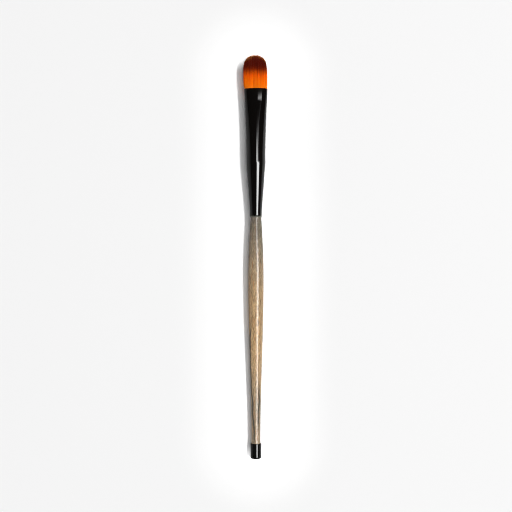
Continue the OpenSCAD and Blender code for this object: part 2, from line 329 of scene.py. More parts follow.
@dataclass(frozen=True)
class LacqueredWood:
    """Straight-grained hardwood, turned, smoked grey at its ends and dipped in clear gloss lacquer.

    The fibres run along the brush as fine streaks, with short flecks, darker pores, a reddish
    blush here and there, a few grey mineral streaks aslant, and a slow change of tone. The lacquer
    over them is smooth and sags a little, most of all beside the ferrule. Real fibres are 0.1 mm
    wide and real flecks 0.2 mm. They are drawn 0.4 and 0.5 mm wide, so that they show. The tones
    run from the cap to the ferrule, and each pattern has its width and its length in mm.
    """

    name: str = "lacquered_turned_hardwood"
    tones: tuple[tuple[float, str], ...] = (
        (0.00, "#b09c84"),
        (0.06, "#b09a7e"),
        (0.17, "#a39178"),
        (0.30, "#c4a680"),
        (0.48, "#c4a277"),
        (0.66, "#b59872"),
        (0.84, "#9a8870"),
        (0.95, "#7d7363"),
        (1.00, "#877d70"),
    )
    pore_colour: str = "#57483a"
    streak_colour: str = "#4f4c43"
    painted_shade_colour: str = "#5f5d4b"
    blush_colour: str = "#b5794a"
    fibre_mm: tuple[float, float] = (0.42, 2.4)
    fibre_light: tuple[float, float] = (0.66, 1.34)
    fleck_mm: tuple[float, float] = (0.5, 1.0)
    fleck_light: tuple[float, float] = (0.82, 1.18)
    band_mm: tuple[float, float] = (1.3, 26.0)
    band_light: tuple[float, float] = (0.84, 1.14)
    pore_mm: tuple[float, float] = (0.32, 3.2)
    pore_edge: tuple[float, float] = (0.58, 0.72)
    pore_depth: float = 0.6
    blush_mm: tuple[float, float] = (0.5, 5.0)
    blush_edge: tuple[float, float] = (0.52, 0.7)
    blush_depth: float = 0.55
    blush_stretch: tuple[float, float] = (0.72, 0.9)
    blush_left: float = 0.3
    # Sizes and strengths of the painted shade on the wood's right side and at its two ends.
    side_mm: tuple[float, float] = (0.3, 2.6)
    side_depth: float = 0.6
    head_stretch: tuple[float, float] = (0.78, 0.96)
    head_depth: tuple[float, float] = (0.32, 1.1)
    foot_stretch: tuple[float, float] = (0.1, 0.26)
    foot_depth: tuple[float, float] = (0.9, 0.3)
    sag_mm: tuple[float, float] = (1.5, 4.0)
    sag_depth_mm: float = 0.05
    sag_stretch: tuple[float, float] = (0.7, 1.0)
    sag_share: float = 0.7
    streak_width_mm: tuple[float, float] = (0.12, 0.5)
    streak_depth: float = 0.9
    streak_start_mm: float = 2.0
    streak_end_mm: float = 6.0
    wander_mm: tuple[float, float] = (30.0, 9.0)
    wander_reach_mm: float = 0.3
    streaks_mm: tuple[tuple[float, float, float, float], ...] = (
        (13.5, -0.8, 33.0, -2.1),
        (7.0, -0.75, 12.0, -0.75),
        (14.0, 1.05, 27.0, 1.35),
        (36.0, -2.3, 52.0, -2.5),
    )
    joint_colour: str = "#55564d"
    joint_mm: tuple[float, float] = (0.4, 0.9)
    joint_depth: float = 0.9

    def make(self, foot: float, row_y: Callable[[float], float], head: float) -> bpy.types.Material:
        """Makes the wood's material.

        Args:
            foot: Height where the bare wood starts, in mm.
            row_y: Gives the place along the frame, in metres, of a height on the brush in mm.
            head: Height where the bare wood ends, in mm.

        Returns:
            The material.
        """
        material, shader = new_material(
            self.name,
            {
                "Roughness": 0.55,
                "Specular IOR Level": 0.12,
                "Coat Weight": 0.44,
                "Coat Roughness": 0.11,
                "Coat IOR": 1.5,
            },
        )
        tree = material.node_tree
        place = add_node(tree, "ShaderNodeTexCoord").outputs["Object"]
        across, along, _ = add_node(tree, "ShaderNodeSeparateXYZ", {0: place}).outputs
        bare = (row_y(foot), row_y(head))
        share = add_node(tree, "ShaderNodeMapRange", {0: along}, spans=(bare, (0.0, 1.0)))

        fibre = stretched_noise(tree, self.fibre_mm, (NOISE_RANGE, self.fibre_light), 3.0, 0.15)
        fleck = stretched_noise(tree, self.fleck_mm, (NOISE_RANGE, self.fleck_light), 1.0)
        band = stretched_noise(tree, self.band_mm, (NOISE_RANGE, self.band_light), 1.0, 0.4)
        light = add_node(tree, "ShaderNodeMath", {0: fibre, 1: fleck}, operation="MULTIPLY")
        light = add_node(tree, "ShaderNodeMath", {0: light, 1: band}, operation="MULTIPLY")
        tone = add_node(tree, "ShaderNodeValToRGB", {0: share}, stops=self.tones)
        lit = add_node(tree, "ShaderNodeVectorMath", {0: tone, "Scale": light}, operation="SCALE")

        pore = stretched_noise(tree, self.pore_mm, (self.pore_edge, (0.0, self.pore_depth)), 1.0)
        far, near = (row_y(head - reach) for reach in self.joint_mm[::-1])
        joint = add_node(
            tree,
            "ShaderNodeMapRange",
            {0: along},
            spans=((far, near), (0.0, self.joint_depth)),
            interpolation_type="SMOOTHSTEP",
        )
        streaks = [self._streak(tree, across, along, places, row_y) for places in self.streaks_mm]
        layers = [
            (self.blush_colour, self._blush(tree, share)),
            # Painted shade: the wood's right side is drawn darker, most at both ends.
            (self.painted_shade_colour, self._painted_side_shade(tree, across, share)),
            (self.pore_colour, pore),
            *[(self.streak_colour, streak) for streak in streaks],
            (self.joint_colour, joint),
        ]
        wood = lit.outputs[0]
        for colour, strength in layers:
            wood = add_node(
                tree,
                "ShaderNodeMix",
                {MIX_FACTOR: strength, COLOUR_A: wood, COLOUR_B: linear(colour)},
                data_type="RGBA",
            ).outputs[MIXED_COLOUR]
        tree.links.new(wood, shader.inputs["Base Color"])
        tree.links.new(self._sagging(tree, share).outputs[0], shader.inputs["Coat Normal"])
        return material

    def _sagging(self, tree: bpy.types.NodeTree, share: Feed) -> bpy.types.Node:
        """Makes the lacquer sag, most of all beside the ferrule.

        Args:
            tree: The material's tree.
            share: How far a place is from the cap to the ferrule, from 0 to 1.

        Returns:
            The node of the lacquer's uneven surface.
        """
        sag = stretched_noise(tree, self.sag_mm, detail=1.0)
        strength = add_node(
            tree,
            "ShaderNodeMapRange",
            {0: share},
            spans=(self.sag_stretch, (0.0, self.sag_share)),
            interpolation_type="SMOOTHSTEP",
        )
        height = add_node(tree, "ShaderNodeMath", {0: sag, 1: strength}, operation="MULTIPLY")
        return add_node(tree, "ShaderNodeBump", {"Height": height, "Distance": self.sag_depth_mm * MM})

    def _blush(self, tree: bpy.types.NodeTree, share: Feed) -> bpy.types.Node:
        """Reddens the wood here and there, and less beside the ferrule.

        Args:
            tree: The material's tree.
            share: How far a place is from the cap to the ferrule, from 0 to 1.

        Returns:
            How strong the blush is at each place.
        """
        patches = stretched_noise(tree, self.blush_mm, (self.blush_edge, (0.0, self.blush_depth)))
        left = (1.0, self.blush_left)
        fade = add_node(tree, "ShaderNodeMapRange", {0: share}, spans=(self.blush_stretch, left))
        return add_node(tree, "ShaderNodeMath", {0: patches, 1: fade}, operation="MULTIPLY")

    def _painted_side_shade(self, tree: bpy.types.NodeTree, across: Feed, share: Feed) -> bpy.types.Node:
        """Paints shade on the wood's right side, most at its two ends.

        Args:
            tree: The material's tree.
            across: The place across the brush, in metres.
            share: How far a place is from the cap to the ferrule, from 0 to 1.

        Returns:
            How strong the painted shade is at each place.
        """
        near, far = self.side_mm
        side = add_node(
            tree,
            "ShaderNodeMapRange",
            {0: across},
            spans=((near * MM, far * MM), (0.0, self.side_depth)),
            interpolation_type="SMOOTHSTEP",
        )
        head = add_node(tree, "ShaderNodeMapRange", {0: share}, spans=(self.head_stretch, self.head_depth))
        foot = add_node(tree, "ShaderNodeMapRange", {0: share}, spans=(self.foot_stretch, self.foot_depth))
        deeper = add_node(tree, "ShaderNodeMath", {0: head, 1: foot}, operation="MAXIMUM")
        return add_node(tree, "ShaderNodeMath", {0: side, 1: deeper}, operation="MULTIPLY")

    def _streak(
        self,
        tree: bpy.types.NodeTree,
        across: Feed,
        along: Feed,
        places: tuple[float, float, float, float],
        row_y: Callable[[float], float],
    ) -> bpy.types.Node:
        """Follows one dark mineral streak that runs aslant over the lower handle.

        Args:
            tree: The material's tree.
            across: The place across the brush, in metres.
            along: The place along the brush, in metres.
            places: The streak's lower height and place across, then its upper ones, in mm.
            row_y: Gives the place along the frame, in metres, of a height on the brush in mm.

        Returns:
            How strong the streak is at each place.
        """
        low, low_x, high, high_x = places
        slant = ((row_y(low), row_y(high)), (low_x * MM, high_x * MM))
        line = add_node(tree, "ShaderNodeMapRange", {0: along}, spans=slant)
        reach = self.wander_reach_mm * MM
        push = stretched_noise(tree, self.wander_mm, (NOISE_RANGE, (-reach, reach)), 1.0)
        middle = add_node(tree, "ShaderNodeMath", {0: line, 1: push}, operation="ADD")
        apart = add_node(tree, "ShaderNodeMath", {0: across, 1: middle}, operation="SUBTRACT")
        gap = add_node(tree, "ShaderNodeMath", {0: apart}, operation="ABSOLUTE")
        core, edge = self.streak_width_mm
        start, end = self.streak_start_mm, self.streak_end_mm
        fades = (
            (gap, (core * MM, edge * MM), (self.streak_depth, 0.0)),
            (along, (row_y(low - start), row_y(low + start)), (0.0, 1.0)),
            (along, (row_y(high), row_y(high + end)), (1.0, 0.0)),
        )
        near, first, last = (
            add_node(
                tree,
                "ShaderNodeMapRange",
                {0: value},
                spans=(source, target),
                interpolation_type="SMOOTHSTEP",
            )
            for value, source, target in fades
        )
        started = add_node(tree, "ShaderNodeMath", {0: near, 1: first}, operation="MULTIPLY")
        return add_node(tree, "ShaderNodeMath", {0: started, 1: last}, operation="MULTIPLY")


@dataclass(frozen=True)
class DyedFilaments:
    """Drawn polyester filaments, dyed orange and dipped dark burgundy over their last half.

    Each filament is smooth and a little shiny. The dip climbs unevenly, so the two colours meet
    in a ragged band, and neighbouring filaments differ slightly in tone. The fine tips are painted
    pale, as painted light that shines through them, so the longest ones show as a thin pale edge.
    The dyes run from the mouth to the tip.
    """

    name: str = "dip_dyed_polyester_filaments"
    dye_reach_mm: float = 14.0
    dyes: tuple[tuple[float, str], ...] = (
        (0.00, "#ff8a18"),
        (0.10, "#ff8008"),
        (0.30, "#ff7202"),
        (0.385, "#f26403"),
        (0.485, "#c04804"),
        (0.58, "#7a2004"),
        (0.68, "#5e1505"),
        (0.85, "#661a0d"),
        (1.00, "#80301f"),
    )
    tones: tuple[float, float] = (0.7, 1.48)
    painted_tip_glow: str = "#f5a04a"
    tip_reach: tuple[float, float] = (0.945, 1.0)

    def make(self) -> bpy.types.Material:
        """Makes the filaments' material, which reads each filament's dye_height, tone and near_tip."""
        material, shader = new_material(
            self.name, {"Roughness": 0.45, "IOR": 1.5, "Specular IOR Level": 0.03}
        )
        tree = material.node_tree
        height, tone, near_tip = (
            add_node(tree, "ShaderNodeAttribute", attribute_name=name).outputs["Fac"]
            for name in ("dye_height", "tone", "near_tip")
        )
        dyed = ((0.0, self.dye_reach_mm), (0.0, 1.0))
        share = add_node(tree, "ShaderNodeMapRange", {0: height}, spans=dyed)
        dye = add_node(tree, "ShaderNodeValToRGB", {0: share}, stops=self.dyes)
        light = add_node(tree, "ShaderNodeMapRange", {0: tone}, spans=((0.0, 1.0), self.tones))
        toned = add_node(tree, "ShaderNodeVectorMath", {0: dye, "Scale": light}, operation="SCALE")
        # Painted light: each filament's last part turns pale orange, for light shining through the thin
        # tips.
        tip_glow_share = add_node(tree, "ShaderNodeMapRange", {0: near_tip}, spans=(self.tip_reach, (0.0, 1.0)))
        colour = add_node(
            tree,
            "ShaderNodeMix",
            {MIX_FACTOR: tip_glow_share, COLOUR_A: toned, COLOUR_B: linear(self.painted_tip_glow)},
            data_type="RGBA",
        )
        tree.links.new(colour.outputs[MIXED_COLOUR], shader.inputs["Base Color"])
        return material


@dataclass(frozen=True)
class SetEpoxy:
    """Epoxy, mixed and poured, set clear to amber with a soft cloud of fine bubbles."""

    name: str = "set_epoxy"
    clear: str = "#d9c08a"
    amber: str = "#b98f4c"
    cloud_mm: float = 1.2

    def make(self) -> bpy.types.Material:
        """Makes the epoxy's material."""
        material, shader = new_material(self.name, {"Roughness": 0.22, "IOR": 1.55})
        tree = material.node_tree
        cloud = stretched_noise(tree, (self.cloud_mm, self.cloud_mm), detail=3.0)
        ramp = add_node(
            tree, "ShaderNodeValToRGB", {0: cloud}, stops=((0.35, self.clear), (0.7, self.amber))
        )
        tree.links.new(ramp.outputs[0], shader.inputs["Base Color"])
        return material


@dataclass(frozen=True)
class WoundThread:
    """Undyed polyester thread, wound tight, turn beside turn."""

    name: str = "wound_polyester_thread"
    light: str = "#e2ddd0"
    painted_crease_shade: str = "#a49c8a"
    turn_mm: float = 0.3

    def make(self) -> bpy.types.Material:
        """Makes the thread's material, with painted shade as one dark line between each two turns."""
        material, shader = new_material(self.name, {"Roughness": 0.8})
        tree = material.node_tree
        place = add_node(tree, "ShaderNodeTexCoord").outputs["Object"]
        # At a scale of 1 the bands of a wave repeat every pi / 10.
        turns = add_node(
            tree,
            "ShaderNodeTexWave",
            {"Vector": place, "Scale": 1 / (self.turn_mm * MM) * math.pi / 10},
            wave_type="BANDS",
            bands_direction="Y",
        ).outputs[0]
        # Painted shade: the crease between each two turns is drawn dark.
        ramp = add_node(
            tree, "ShaderNodeValToRGB", {0: turns}, stops=((0.0, self.painted_crease_shade), (0.5, self.light))
        )
        bump = add_node(tree, "ShaderNodeBump", {"Height": turns, "Distance": self.turn_mm * MM / 2})
        tree.links.new(ramp.outputs[0], shader.inputs["Base Color"])
        tree.links.new(bump.outputs[0], shader.inputs["Normal"])
        return material


@dataclass(frozen=True)
class Rest:
    """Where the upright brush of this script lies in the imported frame."""

    matrix: Matrix

    @classmethod
    def read(cls, record: dict) -> "Rest":
        """Reads the place from the mount on the closed end of the cap.

        Args:
            record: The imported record.

        Returns:
            The place. Upright z runs along the brush, and upright y points down to the floor.
        """
        end = next(m for m in record["mounts"] if m["name"] == "cap_end")
        along = -Vector(end["axis"]).normalized()
        across = Vector((1.0, 0.0, 0.0))
        turn = Matrix((across, along.cross(across), along)).transposed().to_4x4()
        return cls(Matrix.Translation(Vector(end["pos_m"])) @ turn)

    def row_y(self, height: float) -> float:
        """Gives the place along the frame, in metres, of a height on the brush's axis in mm."""
        return (self.matrix @ Vector((0, 0, height * MM))).y

    def lean(self, piece: bpy.types.Object, normals: np.ndarray) -> None:
        """Sets the shading directions of a laid piece from directions on the upright brush."""
        turn = np.array(self.matrix.to_3x3())
        piece.data.normals_split_custom_set_from_vertices((normals @ turn.T).tolist())

    def lay(
        self, piece: bpy.types.Object, material: bpy.types.Material, slot: Slot, *nodes: str
    ) -> bpy.types.Object:
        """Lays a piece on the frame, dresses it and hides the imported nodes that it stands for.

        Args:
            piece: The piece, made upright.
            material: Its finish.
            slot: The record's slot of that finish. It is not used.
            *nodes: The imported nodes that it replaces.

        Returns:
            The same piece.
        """
        piece.data.transform(self.matrix)
        piece.data.materials.append(material)
        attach(piece, BODY)
        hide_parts(*nodes)
        log.info("%s: %d faces, for %s", piece.name, len(piece.data.polygons), ", ".join(nodes))
        return piece


@dataclass
class EndCap:
    """The drawn metal cup on the back end of the handle. Sizes in mm."""

    length: float = 6.4
    radius: float = 2.25
    wall: float = 0.3
    corner: float = 0.6
    lip: float = 0.08
    sides: int = 144

    def outline(self) -> Outline:
        """Gives the cup's outline from its outside end, over the lip, to its inside floor."""
        bore = self.radius - self.wall
        inner = self.corner - self.wall / 2
        return [
            *arc((self.radius - self.corner, self.corner), self.corner, -90, 0, 14),
            *[(self.radius, z) for z in np.linspace(self.corner, self.length - self.lip, 12)[1:-1]],
            *arc((self.radius - self.lip, self.length - self.lip), self.lip, 0, 90, 5),
            *arc((bore + self.lip, self.length - self.lip), self.lip, 90, 180, 5),
            *arc((bore - inner, self.wall + inner), inner, 0, -90, 8),
        ]

    def build(self, rest: Rest) -> None:
        """Builds the cup and lays it on the frame.

        Args:
            rest: Where the brush lies.
        """
        cup = skinned("end_cap_cup", turned(self.outline(), self.sides))
        finish = BlackLacquer("black_lacquered_drawn_cup", colour="#0f0e0e", roughness=(0.1, 0.15), ior=1.33)
        rest.lay(cup, finish.make(), Slot.CAP, "end_cap")


@dataclass
class Handle:
    """The turned wooden handle under its clear lacquer. Sizes in mm.

    The lacquer's sags are waves of its surface. Each has its length, its turns round the handle,
    its start as an angle and its strength.
    """

    cap: EndCap
    shown_len: float = 96.0
    belly_r: float = 3.23
    belly_at: float = 26.5
    foot_r: float = 1.86
    head_r: float = 2.23
    spigot_r: float = 1.85
    spigot_end: float = 0.4
    tenon_r: float = 2.04
    tenon_len: float = 16.0
    chamfer: float = 0.4
    meniscus: float = 0.26
    meniscus_reach: float = 1.0
    meniscus_power: float = 1.15
    lump: float = 0.012
    lump_shares: tuple[float, float] = (0.03, 0.7)
    lump_fade: float = 16.0
    lump_waves: tuple[tuple[float, int, float, float], ...] = (
        (5.3, 2, 0.7, 1.0),
        (3.1, -3, 2.1, 0.7),
        (8.9, 1, 4.0, 0.5),
    )
    sides: int = 144
    rings: int = 520
    end_rings: tuple[float, ...] = (0.0, 0.05, 0.1, 0.2, 0.32, 0.45, 0.6, 0.75, 0.9)

    @property
    def foot(self) -> float:
        """Height where the bare wood starts, at the cap's lip."""
        return self.cap.length

    @property
    def head(self) -> float:
        """Height where the bare wood ends, at the ferrule."""
        return self.foot + self.shown_len

    def radius_at(self, z: np.ndarray) -> np.ndarray:
        """Gives the bare wood's radius: it swells from the ferrule to the belly, then eases to the cap.

        Args:
            z: Heights along the bare wood.

        Returns:
            The radius at each height, with the small rise of lacquer beside the ferrule.
        """
        belly = self.head - self.belly_at
        upper = mix(self.head_r, self.belly_r, np.sin(np.pi / 2 * (self.head - z) / self.belly_at))
        lower = mix(self.foot_r, self.belly_r, ease((z - self.foot) / (belly - self.foot)))
        rise = np.clip(1 - (self.head - z) / self.meniscus_reach, 0, 1) ** self.meniscus_power
        return np.where(z > belly, upper, lower) + self.meniscus * rise

    def lumps(self, z: np.ndarray, angle: np.ndarray) -> np.ndarray:
        """Gives the height of the lacquer's sags, which are strongest beside the ferrule.

        Args:
            z: Heights along the bare wood.
            angle: Angles round it.

        Returns:
            The sag at each height and angle, in mm.
        """
        below = self.head - z[:, None]
        everywhere, at_head = self.lump_shares
        fade = everywhere + at_head * np.exp(-((below / self.lump_fade) ** 2))
        waves = sum(
            strength * np.sin(2 * math.pi * below / length + turns * angle + start)
            for length, turns, start, strength in self.lump_waves
        )
        return self.lump * fade * waves * np.clip(below, 0, 1) * np.clip(z[:, None] - self.foot, 0, 1)

    def build(self, rest: Rest) -> None:
        """Builds the wood with its spigot and tenon, and lays it on the frame.

        Args:
            rest: Where the brush lies.
        """
        ends = np.array(self.end_rings)
        z = np.unique(
            np.concatenate(
                [self.foot + ends, np.linspace(self.foot + 1, self.head - 1, self.rings), self.head - ends]
            )
        )
        bare = turned(list(zip(self.radius_at(z), z, strict=True)), self.sides)
        angle = np.arctan2(bare[0, :, 1], bare[0, :, 0])[None, :]
        grown = 1 + self.lumps(z, angle) / np.hypot(bare[..., 0], bare[..., 1])
        bare[..., 0] *= grown
        bare[..., 1] *= grown
        tenon_end = self.head + self.tenon_len
        spigot = [
            (self.spigot_r - self.chamfer, self.spigot_end),
            (self.spigot_r, self.spigot_end + self.chamfer),
            (self.spigot_r, self.foot),
        ]
        tenon = [
            (self.tenon_r, self.head),
            (self.tenon_r, tenon_end - self.chamfer),
            (self.tenon_r - self.chamfer, tenon_end),
        ]
        rings = np.concatenate([turned(spigot, self.sides), bare, turned(tenon, self.sides)])
        wood = skinned("handle_wood", rings, sharp=50)
        finish = LacqueredWood().make(self.foot, rest.row_y, self.head)
        rest.lay(wood, finish, Slot.WOOD, "handle")


@dataclass
class Ferrule:
    """The drawn tube, round at the handle and pressed to a squared oval at the mouth. Sizes in mm."""

    handle: Handle
    length: float = 53.3
    wall: float = 0.3
    neck_r: float = 2.5
    neck_len: float = 2.4
    barrel_r: float = 3.98
    cone_len: float = 19.8
    barrel_len: float = 3.6
    mouth_w: float = 9.82
    mouth_t: float = 5.3
    land_len: float = 4.4
    land_swell: float = 0.26
    crease_bow: float = 1.4
    rim: float = 0.1
    square: float = 2.55
    square_power: float = 3.0
    flare_power: float = 1.5
    wedge_power: float = 1.25
    bend_reach: float = 0.7
    crease_reach: float = 0.6
    sides: int = 160
    crease_span: tuple[float, float] = (3.0, 1.5)
    ring_gap: float = 0.2
    ring_counts: tuple[int, int, int] = (110, 36, 18)

    @property
    def foot(self) -> float:
        """Height of the edge where the handle enters."""
        return self.handle.head

    @property
    def mouth(self) -> float:
        """Height of the mouth's rim."""
        return self.foot + self.length

    @property
    def land(self) -> float:
        """Height of the crease behind the flat land."""
        return self.mouth - self.land_len

    @property
    def press(self) -> float:
        """Height where the pressed part starts."""
        return self.foot + self.neck_len + self.cone_len + self.barrel_len

    def round_r(self, z: np.ndarray) -> np.ndarray:
        """Gives the outside radius of the round part at each height."""
        cone = self.foot + self.neck_len
        return np.interp(z, [cone, cone + self.cone_len], [self.neck_r, self.barrel_r])

    def wedge(self, z: np.ndarray) -> np.ndarray:
        """Gives how far the flats have closed at each height, from 0 to 1."""
        return np.clip((z - self.press) / (self.land - self.press), 0, 1) ** self.wedge_power

    def half_w(self, z: np.ndarray) -> np.ndarray:
        """Gives half the outside width at each height."""
        flare = np.clip((z - self.press) / (self.mouth - self.press), 0, 1) ** self.flare_power
        return mix(self.round_r(z), self.mouth_w / 2, flare)

    def half_t(self, z: np.ndarray) -> np.ndarray:
        """Gives half the outside thickness at each height. The land is slightly barrelled."""
        swell = self.land_swell * (1 - np.clip((z - self.land) / self.land_len, 0, 1) ** 2)
        return mix(self.round_r(z), (self.mouth_t + swell) / 2, self.wedge(z))

    def ovals(self, heights: np.ndarray, inset: np.ndarray | float, bow: bool = True) -> np.ndarray:
        """Gives sections of the tube, drawn in by inset.

        Args:
            heights: The heights of the sections.
            inset: How far each section lies under the outside.
            bow: Whether the sections lag at the flats, as the crease does.

        Returns:
            Rings as an array of ring, point and place.
        """
        z = np.atleast_1d(np.asarray(heights, float))[:, None]
        inset = np.broadcast_to(np.asarray(inset, float), (len(z),))[:, None]
        angle = 2 * math.pi * np.arange(self.sides)[None, :] / self.sides
        power = 2 / mix(2, self.square, self.wedge(z) ** self.square_power)
        side = np.sign(np.cos(angle)) * np.abs(np.cos(angle)) ** power
        flat = np.sign(np.sin(angle)) * np.abs(np.sin(angle)) ** power
        lag = np.where(z < self.land, self.wedge(z), (self.mouth - z) / self.land_len)
        rise = (self.crease_bow * lag if bow else 0) * (side**2 - 1 / 2)
        bend = softened(self.half_w, z + rise, self.bend_reach)
        crease = softened(self.half_t, z, self.crease_reach)
        return np.stack([(bend - inset) * side, (crease - inset) * flat, z + rise], axis=-1)

    def build(self, rest: Rest) -> None:
        """Builds the tube with its rounded edges, and lays it on the frame.

        Args:
            rest: Where the brush lies.
        """
        below, above = self.crease_span
        on_tube, on_crease, on_land = self.ring_counts
        along = np.concatenate(
            [
                np.linspace(self.foot + 3 * self.rim, self.land - below, on_tube),
                np.linspace(self.land - (below - self.ring_gap), self.land + above, on_crease),
                np.linspace(self.land + (above + self.ring_gap), self.mouth - 3 * self.rim, on_land),
            ]
        )
        turn = np.radians(np.linspace(90, 0, 6))
        edge_in, edge_up = self.rim * (1 - np.cos(turn)), self.rim * (1 - np.sin(turn))
        half = self.wall / 2
        outside = np.concatenate(
            [
                self.ovals([self.foot], half, False),
                self.ovals(self.foot + edge_up, self.rim - edge_in[::-1], False),
                self.ovals(along, 0.0),
                self.ovals(self.mouth - edge_up[::-1], edge_in[::-1], False),
                self.ovals([self.mouth], half, False),
            ]
        )
        inside = np.concatenate(
            [
                self.ovals([self.mouth], self.wall - self.rim / 2, False),
                self.ovals([self.mouth - self.rim / 2], self.wall, False),
                self.ovals(along[::-3], self.wall),
                self.ovals([self.foot + self.rim / 2], self.wall, False),
                self.ovals([self.foot], self.wall - self.rim / 2, False),
            ]
        )
        tube = skinned("ferrule_tube", np.concatenate([outside, inside]), closed=True, sharp=50)
        rest.lay(tube, BlackLacquer("black_lacquered_drawn_tube").make(), Slot.FERRULE, "ferrule")


@dataclass
class Tuft:
    """The bundle of filaments and its packed roots in the ferrule. Sizes in mm.

    It fills the mouth, swells above it, and closes to a rounded, thin tip that leans slightly to
    the left. The drifts are how far a clump and a single filament stray at the tip. The tones are
    the parts that a line across the bundle, a clump and a filament itself have in its tone.
    tip_light says where a filament's painted pale end, for light shining through its tip, starts:
    in the middle layer, how much later in the outer ones, and how unevenly by clump.
    """

    ferrule: Ferrule
    length: float = 14.3
    width: float = 10.08
    lean: float = -0.22
    tip_lean: float = -0.14
    thickness: float = 5.3
    waist_t: float = 4.4
    tip_t: float = 1.7
    swell_h: float = 2.8
    waist_h: float = 8.9
    dome_h: float = 5.7
    dome_power: float = 2.38
    layer_drop: float = 1.3
    tip_scatter: float = 1.1
    fit: float = 0.36
    root_start: float = -1.2
    root_len: float = 14.0
    tail_len: float = 4.6
    tail_draw: float = 0.7
    filament_d: float = 0.088
    count: int = 5100
    clumps: int = 300
    lots: int = 64
    seed: int = 5
    oval_area: float = 3.34
    seat_shift: float = 0.3
    face_share: float = 0.2
    lines: int = 64
    tones: tuple[float, float, float] = (0.09, 0.06, 0.1)
    dye_climb: float = 0.6
    tip_light: tuple[float, float, float] = (1.01, 0.075, 0.02)
    inward: float = 0.02
    clump_drift: float = 0.05
    own_drift: tuple[float, float] = (0.035, 0.03)
    drift_power: float = 1.6
    clump_reach: float = 0.05
    tip_rise: float = 0.1
    closing: float = 0.25
    levels: tuple[float, ...] = (0.4, 1.5)
    shares: tuple[float, ...] = (0.42, 0.7, 0.88, 1.0)
    taper: tuple[float, ...] = (1.0, 1.0, 1.0, 1.0, 0.94, 0.72, 0.25)
    edge_heights: tuple[float, ...] = (0.0, 0.5, 1.5)
    edge_shares: tuple[float, ...] = (0.0, 0.0, 0.5, 0.85, 1.0, 1.0)

    def half_w(self, h: np.ndarray, start: float) -> np.ndarray:
        """Gives half the bundle's width at each height above the mouth, from its half width inside."""
        heights = [-self.root_len, *self.edge_heights, self.swell_h, self.length]
        return mix(start, self.width / 2, np.interp(h, heights, self.edge_shares))

    def half_t(self, h: np.ndarray, start: float) -> np.ndarray:
        """Gives half the bundle's thickness at each height above the mouth, from its half inside."""
        heights = [-self.root_len, 0.0, self.swell_h, self.waist_h, self.length]
        return np.interp(
            h, heights, [start, start, self.thickness / 2, self.waist_t / 2, self.tip_t / 2]
        )

    def seats(self, rng: np.random.Generator) -> np.ndarray:
        """Spreads the filaments evenly over a squared oval.

        Args:
            rng: The source of the small random shifts.

        Returns:
            Their places as shares of the oval's half width and half thickness.
        """
        wide = self.ferrule.mouth_w / 2 - self.fit
        thick = self.ferrule.mouth_t / 2 - self.fit
        power = self.ferrule.square
        pitch = math.sqrt(self.oval_area * wide * thick / self.count / math.sin(math.pi / 3))
        row = pitch * math.sin(math.pi / 3)
        rows, columns = int(thick / row) + 1, int(wide / pitch) + 1
        j, i = np.mgrid[-rows : rows + 1, -columns : columns + 1]
        places = np.stack([(i + j % 2 / 2) * pitch, j * row], axis=-1).reshape(-1, 2)
        places += rng.uniform(-self.seat_shift, self.seat_shift, places.shape) * pitch
        places /= (wide, thick)
        return places[(np.abs(places) ** power).sum(axis=1) <= 1]

    def build(self, rest: Rest) -> None:
        """Builds the filaments and their packed roots, and lays both on the frame.

        Args:
            rest: Where the brush lies.
        """
        finish = DyedFilaments().make()
        bundle, normals = self.filaments()
        rest.lay(bundle, finish, Slot.FILAMENTS, "filament_tuft")
        rest.lean(bundle, normals)
        rest.lay(self.roots(), finish, Slot.FILAMENTS, "filament_tuft")

    def filaments(self) -> tuple[bpy.types.Object, np.ndarray]:
        """Makes every filament from just inside the mouth to its fine tip, as one mesh.

        Returns:
            The mesh's object and its shading directions, which lean from each filament's own
            roundness to the face of the whole bundle.
        """
        rng = np.random.default_rng(self.seed)
        seats = self.seats(rng)
        count = len(seats)
        across, through = np.abs(seats[:, 0]).clip(0, 1), np.abs(seats[:, 1]).clip(0, 1)

        centres = seats[rng.choice(count, self.clumps, replace=False)]
        aspect = np.array([self.width, self.thickness])
        clump = np.argmin((((seats[:, None] - centres[None]) * aspect) ** 2).sum(axis=2), axis=1)
        clump_drift = rng.normal(0, 1, (self.clumps, 2))[clump]
        clump_tone = rng.normal(0, 1, self.clumps)[clump]
        clump_len = rng.normal(0, 1, self.clumps)[clump]

        dome = 1 - (1 - across**self.dome_power) ** (1 / self.dome_power)
        tip = self.length - self.dome_h * dome - self.layer_drop * through**2
        tip += self.tip_rise - self.tip_scatter * rng.random(count) + self.clump_reach * clump_len

        levels = np.concatenate(
            [
                np.full((count, 1), self.root_start),
                np.broadcast_to(np.array(self.levels), (count, len(self.levels))),
                tip[:, None] * np.array(self.shares),
            ],
            axis=1,
        )
        wide = self.ferrule.mouth_w / 2 - self.fit
        thick = self.ferrule.mouth_t / 2 - self.fit
        x = seats[:, :1] * self.half_w(levels, wide)
        y = seats[:, 1:] * self.half_t(levels, thick)
        reach = (levels.clip(0, None) / tip[:, None]) ** self.drift_power
        inward = 1 - self.inward * across[:, None] * reach
        own = rng.normal(0, 1, (count, 2)) * self.own_drift
        stray = self.clump_drift * clump_drift + own
        x = x * inward + reach * (self.tip_lean + stray[:, :1])
        x += self.lean * (levels / self.levels[-1]).clip(0, 1)
        y = y + reach * stray[:, 1:]
        z = levels + self.ferrule.mouth

        spin = rng.uniform(0, 2 * math.pi, count)
        corners = spin[:, None] + 2 * math.pi * np.arange(3) / 3
        size = self.filament_d / 2 * np.array(self.taper)
        ring_x = x[:, :, None] + size[None, :, None] * np.cos(corners)[:, None, :]
        ring_y = y[:, :, None] + size[None, :, None] * np.sin(corners)[:, None, :]
        ring_z = np.repeat(z[:, :, None], 3, axis=2)
        points = np.stack([ring_x, ring_y, ring_z], axis=-1)

